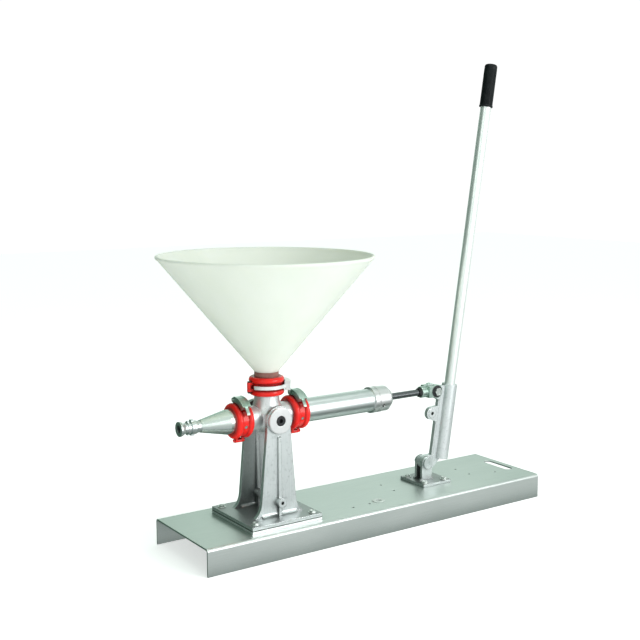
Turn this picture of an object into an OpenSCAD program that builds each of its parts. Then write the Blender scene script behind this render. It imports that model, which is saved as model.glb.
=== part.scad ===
// Hand-lever piston filler on a channel base.
// X runs from the outlet to the lever, Y from front to back, Z up from the floor.
// Every module draws in bench coordinates: x = 0 at the base's left end, y = 0 on the
// centre line. in_frame() then moves the whole to the centre of its own footprint.

/* [Base channel] */
// Length of the base
base_l = 1016; // [900:1:1300]
// Width of the base
base_w = 254; // [225:1:340]
// Height of the base
base_h = 63.5; // [50:0.5:90]
// Sheet thickness of the base
base_t = 4; // [3:0.5:6]
// Outside radius of the base's long bends
base_bend_r = 7; // [6:0.5:12]
// Length of the hand-hold slot, front to back
slot_l = 100; // [80:1:130]
// Width of the hand-hold slot
slot_w = 24; // [18:1:34]
// Distance from the slot's middle to the base's right end
slot_edge = 28; // [24:1:40]
// Radius of the spare screw holes in the base
spare_hole_r = 3.5; // [2:0.25:4.5]
// Radius of the hole for the grommet
grommet_r = 13; // [10:0.5:18]

/* [Pedestal] */
// Distance from the base's left end to the trunnion and hopper axis
head_x = 231; // [225:1:300]
// Distance that the pedestal's plate is shifted to the left of the trunnion
plate_shift = 6; // [0:1:10]
// Distance that the pedestal's plate is shifted to the front of the trunnion
plate_front = 6; // [0:1:10]
// Side of the square pedestal plate
plate_w = 190.5; // [180:1:210]
// Thickness of the spacer plate and of the pedestal's own plate
plate_t = 7.95; // [6:0.05:10]
// Distance from a plate's edge to its bolts
plate_bolt_edge = 17; // [14:1:22]
// Height of the trunnion axis above the floor
pump_z = 306; // [290:1:360]
// Gap between the two arms
arm_gap = 88; // [88:1:110]
// Thickness of an arm
arm_t = 10; // [8:0.5:14]
// Half width of an arm under the trunnion
arm_top_half = 32; // [30:1:38]
// Half width of an arm above its flared foot
arm_low_half = 47; // [42:1:60]
// Half width of an arm's flared foot
arm_foot_half = 66; // [60:1:76]
// Width of the ribs down the middle of an arm
rib_w = 8; // [5:0.5:10]
// Radius of an arm's eye
arm_eye_r = 33; // [28:0.5:36]
// Radius of a trunnion pin
trunnion_r = 12.7; // [10:0.1:14]
// Radius of a trunnion pin's flange
trunnion_flange_r = 31; // [24:0.5:34]

/* [Pump] */
// Radius of the pump bore
bore_r = 25; // [20:0.5:25.5]
// Wall of the head and of the cylinder at their spigots
pipe_wall = 4; // [2.5:0.1:4.5]
// Radius of the head's round body
head_r = 40; // [36:0.5:41]
// Distance from the trunnion to the outlet clamp's middle
outlet_clamp_dx = 77; // [74:1:90]
// Distance from the trunnion to the cylinder clamp's middle
cylinder_clamp_dx = 78; // [74:1:90]
// Distance from the trunnion up to the hopper clamp's middle
hopper_clamp_dz = 75; // [74:1:95]
// Length of the cylinder tube
cylinder_l = 239; // [225:1:300]
// Thickness of a clamped flange
flange_t = 6; // [5:0.25:6.5]
// Height of a clamped flange above its pipe
flange_h = 3.7; // [3:0.1:4.5]
// Thickness of a clamp's gasket
gasket_t = 2; // [1.5:0.25:3]
// Radius of the valve balls
ball_r = 17.5; // [15:0.25:18]
// Lift of the valve balls
ball_lift = 7.8; // [5:0.1:8]

/* [Outlet] */
// Length of the outlet's straight part outside the clamp
outlet_pipe_l = 11.5; // [10:0.5:30]
// Length of the outlet's cone
outlet_cone_l = 68; // [55:1:90]
// Radius of the outlet at its small end
outlet_small_r = 14.5; // [13:0.25:18]
// Length of the hose coupler
coupler_l = 59; // [55:1:80]
// Radius of the hose coupler's bore
coupler_bore_r = 9; // [7:0.25:10]
// Radius of the hose coupler's end flange
coupler_flange_r = 17; // [16:0.25:20]

/* [Hopper] */
// Outside radius of the hopper's rim
rim_r = 254; // [215:1:300]
// Height of the hopper's rim above the floor
rim_z = 687.5; // [640:0.5:760]
// Wall of the hopper
hopper_wall = 5; // [4:0.25:7]
// Height of the neck that shows between the clamp and the cone
neck_show = 11.5; // [10:0.5:24]

/* [Gland, rod and piston] */
// Radius of the gland cap's collar
gland_r = 33; // [32:0.25:36]
// Length of the gland cap
gland_l = 60; // [56:1:100]
// Radius of the piston rod
rod_r = 8.5; // [7:0.1:10.5]
// Length of rod that shows at rest
rod_show = 100; // [86:1:110]
// Radial clearance of running fits
run_fit = 0.05; // [0.02:0.01:0.08]
// Length of the piston
piston_l = 26; // [22:1:36]
// Distance from the cylinder's outlet end to the piston's face at rest
piston_in = 86; // [84:1:100]

/* [Lever] */
// Height of the lever's pivot above the floor
pivot_z = 117; // [108:1:130]
// Distance from the base's left end to the lever's pivot
pivot_x = 716; // [712:1:780]
// Lean of the lever at rest, from upright towards the right
lean = 8.5; // [6:0.5:10]
// Thickness of the lever's eyes
eye_t = 15.2; // [12:0.2:18]
// Radius of the pivot and clevis bolts
bolt_r = 6.35; // [5:0.05:7]
// Outside radius of the lever's pipe socket
socket_r = 20.5; // [18.5:0.5:24]
// Distance from the lever's eyes to its socket
socket_off = 57; // [54:1:70]
// Outside radius of the handle pipe
pipe_r = 14; // [11:0.1:15]
// Wall of the handle pipe
handle_wall = 2.6; // [2:0.1:4]
// Length of the handle pipe
pipe_l = 1031; // [850:1:1240]
// Radius of the grip
grip_r = 17; // [15.5:0.25:20]
// Length of the grip
grip_l = 112; // [90:1:150]
// Thickness of a bracket ear
ear_t = 7; // [5:0.5:14]
// Radius of a bracket ear
ear_r = 16.5; // [14:0.5:20]

/* [Clamps] */
// Outside radius of a clamp
clamp_r = 42; // [41:0.5:46]
// Width of a clamp along its pipe
clamp_w = 44; // [40:0.5:48]
// Radius of a clamp in the valley between its two beads
clamp_valley_r = 37.5; // [36.5:0.5:40]
// Width of a toggle's band
band_w = 8; // [6:0.5:12]
// Thickness of a toggle's band
band_t = 3.2; // [2:0.1:5]

/* [Hidden] */
$fn = 96;
cut = 1;

// The part's origin: the middle of the span from the hopper's rim to the base's right end
origin_x = (base_l + min(0, head_x - rim_r)) / 2;

// Pedestal
spacer_z = base_h;
plate_z = base_h + plate_t;
foot_z = plate_z + plate_t;
plate_at = [head_x - plate_shift, -plate_front];
plate_bolt = plate_w / 2 - plate_bolt_edge;
arm_in = arm_gap / 2;
arm_out = arm_in + arm_t;
eye_face = arm_out + 4;
rib_top_z = pump_z - arm_eye_r - 8;
lug_z = foot_z + 31;
lug_r = 11;
m8_r = 4;
m8_hole_r = 4.2;
m8_head_r = 7.5;
m8_head_t = 5.3;
m8_nut_t = 6.5;
trunnion_flange_t = 5.6;
trunnion_screw_r = 12;

// Head and its spigots
pipe_r_out = bore_r + pipe_wall;
flange_r = pipe_r_out + flange_h;
neck_bore_r = bore_r - 1.5;
half_gasket = gasket_t / 2;
outlet_cx = head_x - outlet_clamp_dx;
cylinder_cx = head_x + cylinder_clamp_dx;
hopper_cz = pump_z + hopper_clamp_dz;
trunnion_in = bore_r + 4;
boss_face = arm_in - 0.6;
boss_r = trunnion_r + 10;

// Valves
seat_t = 11;
seat_r = 15;
ball_gap = 0.2;
seat_drop = sqrt(ball_r * ball_r - seat_r * seat_r);
suction_seat_z = hopper_cz - half_gasket - seat_t;
suction_ball_z = suction_seat_z - seat_drop - ball_gap - ball_lift;
discharge_seat_x = outlet_cx + half_gasket + flange_t;
discharge_ball_x = discharge_seat_x - seat_drop - ball_gap;
cage_t = 5;
cage_play = 0.3;
cage_r_in = ball_r + cage_play;

// Outlet
outlet_x0 = outlet_cx - half_gasket - flange_t;
outlet_x1 = outlet_cx - clamp_w / 2 - outlet_pipe_l;
outlet_x2 = outlet_x1 - outlet_cone_l;
outlet_wall = 3;
coupler_x1 = outlet_x2 + 6;

// Cylinder and gland
cylinder_x0 = cylinder_cx + half_gasket;
cylinder_x1 = cylinder_x0 + cylinder_l;
gland_x0 = cylinder_x1 - 16;
gland_x1 = gland_x0 + gland_l;
gland_wall_x = cylinder_x1 + 2;
bush_r = rod_r + 6;
wiper_t = 6;
wiper_x = gland_x1 - wiper_t;

// Rod, piston and clevis
rod_x1 = gland_x1 + rod_show;
locknut_t = 7;
clevis_x0 = rod_x1 + locknut_t;
pin_x = pivot_x + (pump_z - pivot_z) * tan(lean);
piston_x0 = cylinder_x0 + piston_in;
piston_x1 = piston_x0 + piston_l;
stem_r = 8;
piston_nut_t = 9;
clevis_r = 15;
clevis_ear_r = 18;
clevis_gap = eye_t / 2 + 0.6;
clevis_half_w = 18;
clevis_slot_x = pin_x - 21;
rod_end_x = clevis_slot_x - 2;
bolt_head_t = 8;
bolt_hex_r = 11;
bolt_nut_t = 9;

// Lever, drawn upright from its pivot and then leaned
eye_dist = (pump_z - pivot_z) / cos(lean);
loop_play = 3.4;
low_eye_r = 16;
mid_eye_r = 17;
mid_eye_x = 4;
mid_eye_z = 0.68 * eye_dist;
mid_eye_t = 11;
mid_hole_r = 4.6;
top_eye_r = 16.5;
web_x = 20;
web_t = 9;
socket_z0 = 10;
socket_z1 = eye_dist + 20;
pipe_z0 = socket_z0 + 14;
grip_over = 3;
bracket_t = 8;
bracket_w = 96;
bracket_l = 92;
bracket_x = pivot_x + 8;
bracket_bolt_edge = 13;
ear_in = eye_t / 2 + 0.4;
ear_out = ear_in + ear_t;

// Clamps, drawn round Z with the hinge at -X and the toggle at +X
bead_r = 8;
bead_z = clamp_w / 2 - bead_r;
bead_c = clamp_r - bead_r;
groove_r = flange_r + 0.5;
groove_h = flange_t + half_gasket + 0.2;
lip_r = pipe_r_out + 0.6;
split = 0.4;
knuckle_x = -(clamp_r + 5.5);
knuckle_r = 5;
knuckle_h = 4.5;
hinge_pin_r = 2.5;
toggle_x = clamp_r + 6;
toggle_y = 7;
toggle_pin_r = 2.5;
lug_h = 6.5;
ramp = 30;
ramp_top = clamp_r + 6;
hook_r = 2.5;
screw_turn = -15;
hook_on = 10.5;
hook_x = ramp_top - hook_on * tan(ramp) + (hook_r + 0.3) * cos(ramp);
hook_y = -hook_on - (hook_r + 0.3) * sin(ramp);
cheek_t = 4;
cheek_in = lug_h + 0.4;
cheek_out = cheek_in + cheek_t;
hood_r = clamp_r + 15;
hood_sweep = 46;
band_close = clamp_r + 1.2;
band_proud = clamp_r + 8;

// Lists of places, x from the base's left end and y from its centre line
spare_pair_x = [pivot_x - 115, pivot_x + 145];
spare_pair_y = [-20, 35];
front_spare_x = [head_x + 203, head_x + 253];
front_spare_y = -71;
end_spare = [base_l - 83, -45];
grommet_at = [head_x + 285, -65];

function bezier(a, b, c, n) =
    [for (i = [0:n]) let (t = i / n) a * (1 - t) * (1 - t) + b * 2 * t * (1 - t) + c * t * t];

// Moves bench coordinates to the part's own frame
module in_frame() translate([-origin_x, 0, 0]) children();

// Stands a shape's Z along +X on the pump axis, from bench coordinate x
module along_pump(x) in_frame() translate([x, 0, pump_z]) rotate([0, 90, 0]) children();

// Sets a shape upright on the hopper axis
module on_head(z) in_frame() translate([head_x, 0, z]) children();

// Puts a shape drawn upright from the lever's pivot into its leaned place
module on_lever() in_frame() translate([pivot_x, 0, pivot_z]) rotate([0, lean, 0]) children();

// A tube that starts at z = 0
module tube(r_out, r_in, h) difference() {
    cylinder(r = r_out, h = h);
    translate([0, 0, -cut]) cylinder(r = r_in, h = h + 2 * cut);
}

// A round bar centred on the origin, along Y
module bar_y(r, l) rotate([90, 0, 0]) cylinder(r = r, h = l, center = true);

// A hexagonal bar with its first end at y, running towards +Y
module hex_y(r, y, l) translate([0, y + l, 0]) rotate([90, 0, 0]) cylinder(r = r, h = l, $fn = 6);

// Draws its children at the four corners of a square or rectangle
module at_corners(dx, dy) for (x = [-dx, dx], y = [-dy, dy]) translate([x, y, 0]) children();

// ---------------------------------------------------------------- base

module channel_outline(w, h, r) {
    translate([-w / 2, 0]) square([w, h - r]);
    translate([-w / 2 + r, 0]) square([w - 2 * r, h]);
    for (s = [-1, 1]) translate([s * (w / 2 - r), h - r]) circle(r);
}

module base_channel() color("gainsboro") in_frame() difference() {
    rotate([90, 0, 90]) linear_extrude(base_l) difference() {
        channel_outline(base_w, base_h, base_bend_r);
        translate([0, -cut]) channel_outline(base_w - 2 * base_t, base_h - base_t + cut,
                                             base_bend_r - base_t);
    }
    translate(plate_at) at_corners(plate_bolt, plate_bolt) base_hole(m8_hole_r);
    translate([bracket_x, 0, 0])
        at_corners(bracket_l / 2 - bracket_bolt_edge, bracket_w / 2 - bracket_bolt_edge)
            base_hole(m8_hole_r);
    for (x = spare_pair_x, y = spare_pair_y) translate([x, y, 0]) base_hole(spare_hole_r);
    for (x = front_spare_x) translate([x, front_spare_y, 0]) base_hole(spare_hole_r);
    translate([end_spare.x, end_spare.y, 0]) base_hole(spare_hole_r);
    translate([grommet_at.x, grommet_at.y, 0]) base_hole(grommet_r);
    translate([base_l - slot_edge, 0, base_h / 2]) linear_extrude(base_h) {
        square([slot_w, slot_l - slot_w], center = true);
        for (s = [-1, 1]) translate([0, s * (slot_l - slot_w) / 2]) circle(slot_w / 2);
    }
}

module base_hole(r) translate([0, 0, base_h / 2]) cylinder(r = r, h = base_h);

module base_grommet() color("dimgray") in_frame()
    translate([grommet_at.x, grommet_at.y, base_h - base_t - 2]) difference() {
        union() {
            cylinder(r = grommet_r, h = base_t + 2);
            translate([0, 0, base_t + 2]) cylinder(r = grommet_r + 2.5, h = 1.6);
            cylinder(r = grommet_r + 2.5, h = 2);
        }
        translate([0, 0, -cut]) cylinder(r = grommet_r - 4.5, h = base_t + 6);
    }

// ---------------------------------------------------------------- pedestal

module plate_blank(z) translate([plate_at.x, plate_at.y, z]) difference() {
    translate([-plate_w / 2, -plate_w / 2, 0]) cube([plate_w, plate_w, plate_t]);
    at_corners(plate_bolt, plate_bolt) translate([0, 0, -cut])
        cylinder(r = m8_hole_r, h = plate_t + 2 * cut);
}

module spacer_plate() color("lightslategray") in_frame() plate_blank(spacer_z);

// One side of an arm, from the foot's outer corner up to its eye
arm_flare = bezier([arm_foot_half, 0], [arm_low_half + 3, 9], [arm_low_half, 34], 8);
arm_side = concat(arm_flare, [[arm_top_half, pump_z - arm_eye_r * 0.7 - foot_z]]);

module arm_outline() {
    polygon(concat(arm_side, [for (i = [len(arm_side) - 1:-1:0]) [-arm_side[i].x, arm_side[i].y]]));
    translate([0, pump_z - foot_z]) circle(arm_eye_r);
    translate([-arm_top_half, pump_z - foot_z - arm_eye_r * 0.7 - 1])
        square([2 * arm_top_half, arm_eye_r * 0.35]);
}

// A rib down the middle of an arm, deepest at the foot
module arm_rib(high, low) translate([-rib_w / 2, 0, 0]) rotate([90, 0, 90]) linear_extrude(rib_w)
    polygon([[-arm_in - arm_t / 2, foot_z], [low, foot_z], [low, foot_z + 6],
             [high, rib_top_z], [-arm_in - arm_t / 2, rib_top_z + 6]]);

// A concave fillet along X where an arm's face meets the plate
module foot_fillet(y, side, r) translate([-arm_low_half, y, foot_z]) rotate([90, 0, 90])
    linear_extrude(2 * arm_low_half) difference() {
        translate([min(0, side * r), 0]) square(r);
        translate([side * r, r]) circle(r);
    }

module arm_front() {
    translate([0, -arm_in, foot_z]) rotate([90, 0, 0]) linear_extrude(arm_t) arm_outline();
    arm_rib(-arm_out - 3.6, -arm_out - 6);
    arm_rib(-arm_in, -arm_in + 8);
    translate([0, -arm_in - arm_t / 2, lug_z]) bar_y(lug_r, arm_t + 30);
    translate([0, -(arm_in + eye_face) / 2, pump_z]) bar_y(arm_eye_r - 2, eye_face - arm_in);
    foot_fillet(-arm_out, -1, 8);
    foot_fillet(-arm_in, 1, 8);
}

module pedestal() color("silver") in_frame() difference() {
    union() {
        plate_blank(plate_z);
        translate([head_x, 0, 0]) arm_front();
        translate([head_x, 0, 0]) mirror([0, 1, 0]) arm_front();
    }
    translate([head_x, 0, pump_z]) bar_y(trunnion_r, 2 * eye_face + 2 * cut);
    translate([head_x, 0, lug_z]) for (s = [-1, 1])
        translate([0, s * (arm_out + 14), 0]) bar_y(4, 20);
}

module bolt_down(z_top, grip) {
    translate([0, 0, z_top]) difference() {
        cylinder(r = m8_head_r, h = m8_head_t, $fn = 6);
        translate([0, 0, m8_head_t - 0.8]) cylinder(r = m8_head_r * 0.55, h = 2);
    }
    translate([0, 0, z_top - grip - m8_nut_t - 2]) cylinder(r = m8_r, h = grip + m8_nut_t + 2.5);
}

module bolt_nut(z_top, grip) translate([0, 0, z_top - grip - m8_nut_t]) difference() {
    cylinder(r = m8_head_r, h = m8_nut_t, $fn = 6);
    translate([0, 0, -cut]) cylinder(r = m8_r, h = m8_nut_t + 2 * cut);
}

module pedestal_bolts() color("darkgray") in_frame() translate(plate_at)
    at_corners(plate_bolt, plate_bolt) {
        bolt_down(foot_z, 2 * plate_t + base_t);
        bolt_nut(foot_z, 2 * plate_t + base_t);
    }

// A flanged pin: the flange lies on the arm's eye and the pin carries the head
module trunnion_pin() translate([0, -eye_face, 0]) rotate([90, 0, 0]) difference() {
    union() {
        cylinder(r = trunnion_flange_r - 1, h = trunnion_flange_t);
        cylinder(r = trunnion_flange_r, h = trunnion_flange_t - 1);
        translate([0, 0, -(eye_face - trunnion_in - 0.4)])
            cylinder(r = trunnion_r, h = eye_face - trunnion_in);
    }
    translate([0, 0, 2.2]) cylinder(r = trunnion_screw_r + 0.5, h = trunnion_flange_t);
    translate([0, 0, -12]) cylinder(r = 6, h = 20);
}

module trunnion_screw() translate([0, -eye_face - 2.2, 0]) rotate([90, 0, 0]) difference() {
    union() {
        cylinder(r = trunnion_screw_r, h = 3);
        translate([0, 0, -14]) cylinder(r = 6, h = 15);
    }
    translate([0, 0, -4]) cylinder(r = 5.8, h = 10, $fn = 6);
}

module trunnion_pin_front() color("silver") on_head(pump_z) trunnion_pin();

module trunnion_pin_back() color("silver") on_head(pump_z) mirror([0, 1, 0]) trunnion_pin();

module trunnion_screws() color("black") on_head(pump_z) {
    trunnion_screw();
    mirror([0, 1, 0]) trunnion_screw();
}

// ---------------------------------------------------------------- head and valves

// The head's round body and the bell that draws in to the hopper spigot
bell = bezier([head_r, 14], [pipe_r_out + 1, 26], [pipe_r_out, 54], 12);

module pump_head() color("gainsboro") difference() {
    union() {
        on_head(pump_z) sphere(head_r);
        on_head(pump_z) rotate_extrude()
            polygon(concat([[0, 0], [head_r, 0]], bell,
                           [[pipe_r_out, hopper_clamp_dz - half_gasket],
                            [0, hopper_clamp_dz - half_gasket]]));
        on_head(hopper_cz - half_gasket - flange_t) cylinder(r = flange_r, h = flange_t);
        along_pump(outlet_cx + half_gasket)
            cylinder(r = pipe_r_out, h = outlet_clamp_dx + cylinder_clamp_dx - gasket_t);
        along_pump(outlet_cx + half_gasket) cylinder(r = flange_r, h = flange_t);
        along_pump(cylinder_cx - half_gasket - flange_t) cylinder(r = flange_r, h = flange_t);
        on_head(pump_z) bar_y(boss_r, 2 * boss_face);
    }
    along_pump(outlet_cx - cut)
        cylinder(r = bore_r, h = outlet_clamp_dx + cylinder_clamp_dx + 2 * cut);
    on_head(pump_z) cylinder(r = neck_bore_r, h = hopper_clamp_dz + cut);
    for (s = [-1, 1]) on_head(pump_z)
        translate([0, s * (trunnion_in + 10), 0]) bar_y(trunnion_r + run_fit, 20);
    on_head(pump_z) for (s = [-1, 1])
        translate([0, s * (boss_face + 9), 0]) bar_y(boss_r + 4, 18);
}

module valve_seat(r_out) difference() {
    cylinder(r = r_out, h = seat_t);
    translate([0, 0, -cut]) cylinder(r = seat_r, h = seat_t + 2 * cut);
    translate([0, 0, 2]) cylinder(r = seat_r + 2.5, h = seat_t);
}

module suction_seat() color("dimgray") on_head(suction_seat_z) valve_seat(neck_bore_r);

// Four ribs that guide a ball, on a ring with a crossbar that stops it
module ball_cage(r_out, guide_l) {
    tube(r_out, r_out - 3.5, cage_t);
    for (a = [0, 90]) rotate([0, 0, a]) intersection() {
        translate([-r_out, -3, 0]) cube([2 * r_out, 6, cage_t]);
        cylinder(r = r_out - 1, h = cage_t);
    }
    for (a = [45:90:315]) rotate([0, 0, a]) intersection() {
        translate([cage_r_in, -2.5, 0]) cube([r_out - cage_r_in, 5, guide_l]);
        cylinder(r = r_out, h = guide_l);
    }
}

module suction_cage() color("silver") on_head(suction_ball_z - ball_r - ball_gap - cage_t)
    ball_cage(neck_bore_r, suction_seat_z - suction_ball_z + ball_r + ball_gap + cage_t);

module suction_ball() color("white") on_head(suction_ball_z) sphere(ball_r);

module discharge_seat() color("dimgray") along_pump(discharge_seat_x) valve_seat(bore_r);

module discharge_cage() color("silver")
    along_pump(discharge_ball_x - ball_lift - ball_r - ball_gap - cage_t)
        ball_cage(bore_r, discharge_seat_x - discharge_ball_x + ball_lift + ball_r + ball_gap
                          + cage_t);

module discharge_ball() color("white") along_pump(discharge_ball_x) sphere(ball_r);

// ---------------------------------------------------------------- outlet

module outlet_cone() color("gainsboro") along_pump(outlet_x2) difference() {
    union() {
        cylinder(r1 = outlet_small_r, r2 = pipe_r_out, h = outlet_cone_l);
        translate([0, 0, outlet_cone_l])
            cylinder(r = pipe_r_out, h = outlet_cx - half_gasket - outlet_x1);
        translate([0, 0, outlet_x0 - outlet_x2]) cylinder(r = flange_r, h = flange_t);
    }
    translate([0, 0, 14]) cylinder(r1 = outlet_small_r - outlet_wall, r2 = bore_r,
                                   h = outlet_cone_l - 14);
    translate([0, 0, -cut]) cylinder(r = outlet_small_r - outlet_wall, h = 16);
    translate([0, 0, outlet_cone_l - 0.01])
        cylinder(r = bore_r, h = outlet_cx - outlet_x1 + cut);
}

// A cam-groove hose coupler: spigot, hexagon with two ears, groove and end flange
module hose_coupler() color("silver") along_pump(coupler_x1 - coupler_l) difference() {
    union() {
        cylinder(r = coupler_flange_r, h = 4);
        translate([0, 0, 4])
            cylinder(r1 = coupler_flange_r, r2 = coupler_bore_r + 3.5, h = 9);
        cylinder(r = coupler_bore_r + 3, h = coupler_l - 12);
        translate([0, 0, 20]) cylinder(r = coupler_bore_r + 5, h = 6);
        translate([0, 0, 29]) cylinder(r = coupler_bore_r + 6.5, h = 13);
        translate([0, 0, 44]) cylinder(r = coupler_bore_r + 4.5, h = 9);
        for (s = [-1, 1]) rotate([0, 0, s * 90]) translate([-5, coupler_bore_r, 29])
            cube([10, 9, 8]);
        for (s = [-1, 1]) rotate([0, 0, s * 90]) translate([-4, coupler_bore_r, 20])
            cube([8, 7, 5]);
        cylinder(r = outlet_small_r - outlet_wall, h = coupler_l);
    }
    translate([0, 0, -cut]) cylinder(r = coupler_bore_r, h = coupler_l + 2 * cut);
}

// ---------------------------------------------------------------- cylinder and gland

module cylinder_tube() color("silver") along_pump(cylinder_x0) difference() {
    union() {
        cylinder(r = pipe_r_out, h = cylinder_l);
        cylinder(r = flange_r, h = flange_t);
    }
    translate([0, 0, -cut]) cylinder(r = bore_r, h = cylinder_l + 2 * cut);
}

module gland_cap() color("darkgray") along_pump(gland_x0) difference() {
    union() {
        cylinder(r = gland_r, h = 12);
        translate([0, 0, 11]) cylinder(r = gland_r - 1.6, h = 5);
        translate([0, 0, 15]) cylinder(r = gland_r, h = 14);
        translate([0, 0, 28]) cylinder(r = gland_r - 1, h = gland_l - 28 - 12);
        translate([0, 0, gland_l - 12.01])
            cylinder(r1 = gland_r - 1, r2 = bush_r + 8, h = 12.01);
    }
    translate([0, 0, -cut]) cylinder(r = pipe_r_out, h = cylinder_x1 - gland_x0 + cut);
    translate([0, 0, cylinder_x1 - gland_x0 - cut]) cylinder(r = bore_r, h = 2 + cut);
    translate([0, 0, 10]) cylinder(r = bush_r, h = gland_l);
    translate([0, 0, gland_l - wiper_t]) cylinder(r = bush_r + 4, h = wiper_t + cut);
    translate([0, 0, gland_l - 35]) rotate([90, 0, 20]) translate([0, 0, bush_r + 5])
        cylinder(r = 4.6, h = gland_r);
}

module gland_bush() color("peru") along_pump(gland_wall_x)
    tube(bush_r, rod_r + run_fit, wiper_x - gland_wall_x);

module rod_wiper() color("black") along_pump(wiper_x) tube(bush_r + 4, rod_r + run_fit, wiper_t);

// ---------------------------------------------------------------- hopper

neck_top_z = hopper_cz + clamp_w / 2 + neck_show;
spigot_r = neck_bore_r + 0.5;
cone_r = rim_r - 3;

module hopper_neck() color("rosybrown") on_head(hopper_cz + half_gasket) difference() {
    union() {
        cylinder(r = pipe_r_out, h = neck_top_z - hopper_cz - half_gasket);
        cylinder(r = flange_r, h = flange_t);
    }
    translate([0, 0, -cut]) cylinder(r = spigot_r, h = neck_top_z - hopper_cz + cut);
}

module hopper() color("ivory") on_head(0) rotate_extrude() polygon([
    [spigot_r - 3, hopper_cz + 8], [spigot_r, hopper_cz + 8], [spigot_r, neck_top_z],
    [pipe_r_out, neck_top_z], [cone_r, rim_z - 7], [rim_r, rim_z - 7], [rim_r, rim_z],
    [cone_r - hopper_wall, rim_z], [cone_r - hopper_wall, rim_z - 7],
    [pipe_r_out - hopper_wall - 2.4, neck_top_z + 1]]);

// ---------------------------------------------------------------- clamps

module clamp_ring() rotate_extrude() difference() {
    union() {
        for (s = [-1, 1]) translate([bead_c, s * bead_z]) circle(bead_r);
        translate([lip_r, -clamp_w / 2]) square([bead_c - lip_r, clamp_w]);
        translate([lip_r, -bead_z]) square([clamp_valley_r - lip_r, 2 * bead_z]);
    }
    translate([0, -clamp_w / 2 - cut]) square([lip_r, clamp_w + 2 * cut]);
    translate([0, -groove_h]) square([groove_r, 2 * groove_h]);
}

// Half of the ring, on the side of y that has the sign s
module clamp_half(s) intersection() {
    clamp_ring();
    translate([-clamp_r - cut, s > 0 ? split : -clamp_r - cut - split, -clamp_w])
        cube([2 * (clamp_r + cut), clamp_r + cut, 2 * clamp_w]);
}

module knuckle(z, h, s) translate([0, 0, z]) {
    translate([knuckle_x, 0, 0]) cylinder(r = knuckle_r, h = h);
    translate([knuckle_x, s > 0 ? split : -knuckle_r, 0])
        cube([clamp_r - clamp_valley_r + 10, knuckle_r - split, h]);
}

// The half that stays on the pipes: outer knuckles and the ramp that the hook pulls on
module clamp_fixed_half(screw) difference() {
    union() {
        clamp_half(-1);
        for (z = [knuckle_h + 0.4, -knuckle_h - 0.4 - 6]) knuckle(z, 6, -1);
        translate([0, 0, -lug_h]) linear_extrude(2 * lug_h)
            polygon([[clamp_valley_r - 2, -split], [ramp_top, -split],
                     [ramp_top - 13 * tan(ramp), -13 - split],
                     [clamp_valley_r - 2, -13 - split]]);
    }
    translate([knuckle_x, 0, -clamp_w]) cylinder(r = hinge_pin_r, h = 2 * clamp_w);
    if (screw) rotate([0, 0, screw_turn]) translate([0, 3 - clamp_valley_r, 0])
        rotate([90, 0, 0]) cylinder(r = 4, h = 10);
}

// The half that swings open: middle knuckle and the lug that carries the toggle
module clamp_swing_half() difference() {
    union() {
        clamp_half(1);
        knuckle(-knuckle_h, 2 * knuckle_h, 1);
        translate([toggle_x, toggle_y, -lug_h]) cylinder(r = 6, h = 2 * lug_h);
        translate([clamp_valley_r - 2, toggle_y - 6, -lug_h])
            cube([toggle_x - clamp_valley_r + 2, 12, 2 * lug_h]);
    }
    translate([knuckle_x, 0, -clamp_w])
        cylinder(r = hinge_pin_r + run_fit, h = 2 * clamp_w);
    translate([toggle_x, toggle_y, -clamp_w]) cylinder(r = toggle_pin_r, h = 2 * clamp_w);
}

module clamp_hinge_pin() translate([knuckle_x, 0, -13]) {
    cylinder(r = hinge_pin_r, h = 26);
    translate([0, 0, -1.5]) cylinder(r = 4, h = 2);
    translate([0, 0, 24.5]) cylinder(r = 4, h = 2);
}

// A curved band lever: two cheeks on the toggle pin under a hood, a hook bar and the band
module clamp_toggle(band, sweep) {
    for (z = [cheek_in, -cheek_out]) translate([0, 0, z]) difference() {
        union() {
            rotate([0, 0, -hood_sweep]) rotate_extrude(angle = hood_sweep + 4)
                translate([band_close + 0.4, 0]) square([hood_r - band_close - 0.4, cheek_t]);
            translate([toggle_x, toggle_y, 0]) cylinder(r = 6, h = cheek_t);
        }
        translate([toggle_x, toggle_y, -cut])
            cylinder(r = toggle_pin_r + run_fit, h = cheek_t + 2 * cut);
    }
    rotate([0, 0, 0.6 - hood_sweep]) rotate_extrude(angle = hood_sweep + 2.6)
        translate([hood_r - 2.6, -cheek_in - 1]) square([2, 2 * cheek_in + 2]);
    rotate([0, 0, 0.6 - hood_sweep]) rotate_extrude(angle = 5)
        translate([band_close + 1, -cheek_in - 1.4])
            square([hood_r - band_close - 2, 2 * cheek_in + 2.8]);
    translate([hook_x, hook_y, -cheek_in - 2]) cylinder(r = hook_r, h = 2 * cheek_in + 4);
    rotate([0, 0, -sweep]) rotate_extrude(angle = sweep - hood_sweep + 3)
        translate([band, -band_w / 2]) square([band_t, band_w]);
}

module clamp_toggle_pin() translate([toggle_x, toggle_y, -cheek_out - 2])
    cylinder(r = toggle_pin_r, h = 2 * cheek_out + 4);

module clamp_screw() rotate([0, 0, screw_turn]) translate([0, 3 - clamp_valley_r, 0])
    rotate([90, 0, 0]) difference() {
        cylinder(r = 4, h = 2.4);
        translate([0, 0, 1.2]) cylinder(r = 2.2, h = 2, $fn = 6);
    }

module clamp_gasket() translate([0, 0, -half_gasket]) tube(flange_r - 0.5, bore_r, gasket_t);

// A clamp on the pump axis: its hinge hangs below and its toggle lies over the top
module clamp_on_pump(x) in_frame() translate([x, 0, pump_z]) rotate([0, -90, 0]) children();

module outlet_gasket() color("black") clamp_on_pump(outlet_cx) clamp_gasket();

module outlet_clamp_fixed() color("red") clamp_on_pump(outlet_cx) clamp_fixed_half(true);

module outlet_clamp_swing() color("red") clamp_on_pump(outlet_cx) clamp_swing_half();

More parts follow.
